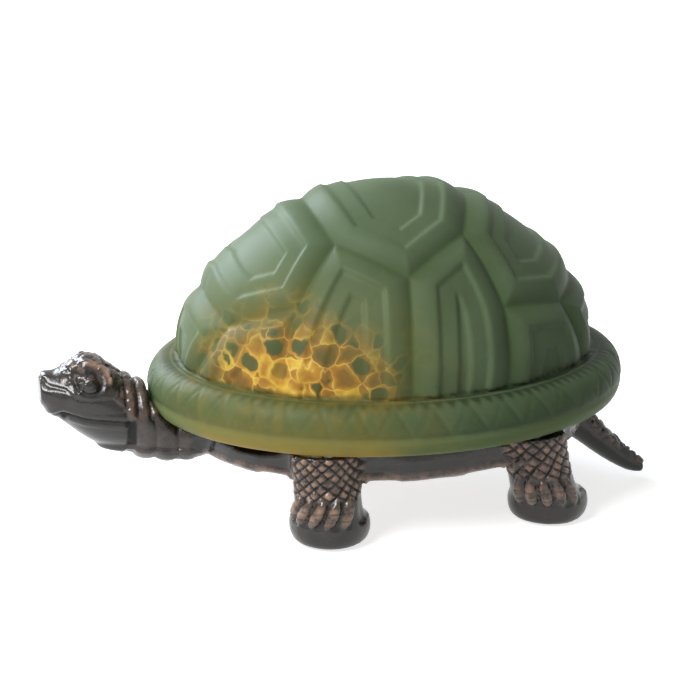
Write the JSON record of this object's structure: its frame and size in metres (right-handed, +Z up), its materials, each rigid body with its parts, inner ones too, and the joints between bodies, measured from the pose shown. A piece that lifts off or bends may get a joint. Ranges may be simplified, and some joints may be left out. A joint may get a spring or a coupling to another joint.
{
  "type": "turtle night light",
  "caption": "Decorative night light in the form of a turtle: a cast metal body with an open oval band carries a lift-off glass shell over a small screw-in bulb in a bracketed socket.",
  "frame": {"origin": "on the table, below the middle of the object's whole length and width", "axes": "+Z up, the head points along -X and the tail along +X, +Y is the turtle's right side"},
  "size_m": [0.2406, 0.15, 0.1264],
  "materials": {
    "bronze_painted_casting": "semi-gloss dark bronze with rubbed copper edges",
    "green_frosted_glass": "sandblasted",
    "black_nylon": "satin",
    "zinc_plated_steel": "bright zinc",
    "black_phenolic": "satin",
    "brass": "plain",
    "solder": "dull",
    "black_glass": "opaque, gloss",
    "bulb_frosted_glass": "frosted",
    "clear_glass": "clear",
    "nickel_wire": "drawn",
    "tungsten_wire": "drawn",
    "black_rubber": "matte",
    "clear_silicone": "matte"
  },
  "bodies": {
    "base": {"base_casting": "bronze_painted_casting", "cord_bushing": "black_nylon", "socket_bracket": "zinc_plated_steel", "bracket_screw": "zinc_plated_steel", "bracket_lock_washer": "zinc_plated_steel", "bracket_nut": "zinc_plated_steel", "socket_body": "black_phenolic", "socket_thread_shell": "brass", "socket_centre_contact": "brass", "socket_terminal_screws": "brass", "socket_fixing_screws": "zinc_plated_steel", "front_right_foot_pad": "black_rubber", "front_left_foot_pad": "black_rubber", "rear_right_foot_pad": "black_rubber", "rear_left_foot_pad": "black_rubber", "front_right_rest_pad": "clear_silicone", "front_left_rest_pad": "clear_silicone", "rear_right_rest_pad": "clear_silicone", "rear_left_rest_pad": "clear_silicone"},
    "shell": {"glass_shell": "green_frosted_glass"},
    "bulb_tip": {"bulb_tip_contact": "solder"},
    "bulb": {"bulb_cap_insulator": "black_glass", "bulb_cap": "brass", "bulb_glass": "bulb_frosted_glass", "bulb_stem": "clear_glass", "bulb_lead_wires": "nickel_wire", "bulb_filament": "tungsten_wire"}
  },
  "joints": [
    {"name": "shell_lift", "type": "slide", "parent": "base", "child": "shell", "axis": [0, 0, 1], "range_m": [0, 0.1]},
    {"name": "bulb_travel", "type": "slide", "parent": "base", "child": "bulb_tip", "axis": [-1, 0, 0], "range_m": [0, 0.0102]},
    {"name": "bulb_turn", "type": "hinge", "parent": "bulb_tip", "child": "bulb", "pos_m": [-0.01, 0, 0.05], "axis": [-1, 0, 0], "range_deg": [0, 1440]}
  ],
  "couplings": [
    {"joint": "bulb_travel", "follows": "bulb_turn", "m_per_rad": 0.00040425}
  ]
}
